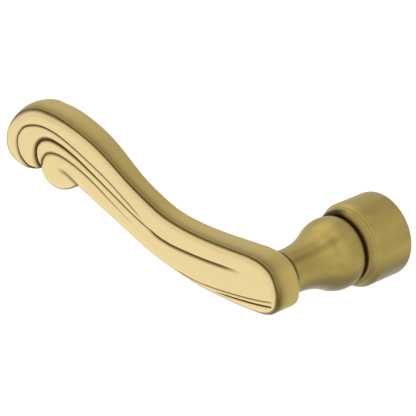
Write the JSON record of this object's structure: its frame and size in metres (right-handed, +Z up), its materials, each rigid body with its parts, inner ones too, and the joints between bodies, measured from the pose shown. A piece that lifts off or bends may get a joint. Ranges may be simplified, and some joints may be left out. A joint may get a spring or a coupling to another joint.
{
  "type": "door lever handle",
  "caption": "Scrolled S-shaped door lever on a turned baluster neck, sprung and turning in a fixed round bearing collar, with a square spindle socket.",
  "frame": {"origin": "on the spindle axis, at the centre of the collar's rear face, where the handle sits on its rose", "axes": "+Z up, -Y out of the door towards the user, the grip points along -X"},
  "size_m": [0.1342, 0.0558, 0.0468],
  "materials": {
    "antique_brass": "satin brushed, dark patina in the grooves",
    "satin_brass": "satin, lathe-brushed",
    "bright_steel": "zinc-plated, turned",
    "spring_steel": "blued spring steel",
    "black_steel": "black oxide",
    "nylon": "natural nylon"
  },
  "bodies": {
    "collar": {"collar_shell": "satin_brass", "front_bush": "nylon", "back_plate": "bright_steel", "rear_bush": "nylon", "plate_ring": "spring_steel", "stop_pin": "bright_steel", "return_spring": "spring_steel", "glide_ring": "nylon"},
    "lever": {"lever_grip": "antique_brass", "neck": "satin_brass", "joining_stud": "bright_steel", "locating_dowel": "bright_steel", "drive_hub": "bright_steel", "spring_driver": "bright_steel", "driver_key": "bright_steel", "thrust_washer": "bright_steel", "wave_washer": "spring_steel", "hub_ring": "spring_steel"},
    "set_screw": {"set_screw": "black_steel"},
    "collar_screw": {"collar_screw": "black_steel"}
  },
  "joints": [
    {"name": "lever_turn", "type": "hinge", "parent": "collar", "child": "lever", "pos_m": [0, 0, 0], "axis": [0, -1, 0], "range_deg": [0, 45], "stiffness_Nm_per_rad": 0.28, "springref_deg": -34.38, "deforming": ["return_spring"]},
    {"name": "set_screw_travel", "type": "slide", "parent": "lever", "child": "set_screw", "axis": [0, 0, -1], "range_m": [0, 0.0025]},
    {"name": "collar_screw_travel", "type": "slide", "parent": "collar", "child": "collar_screw", "axis": [0, 0, -1], "range_m": [0, 0.002]}
  ]
}
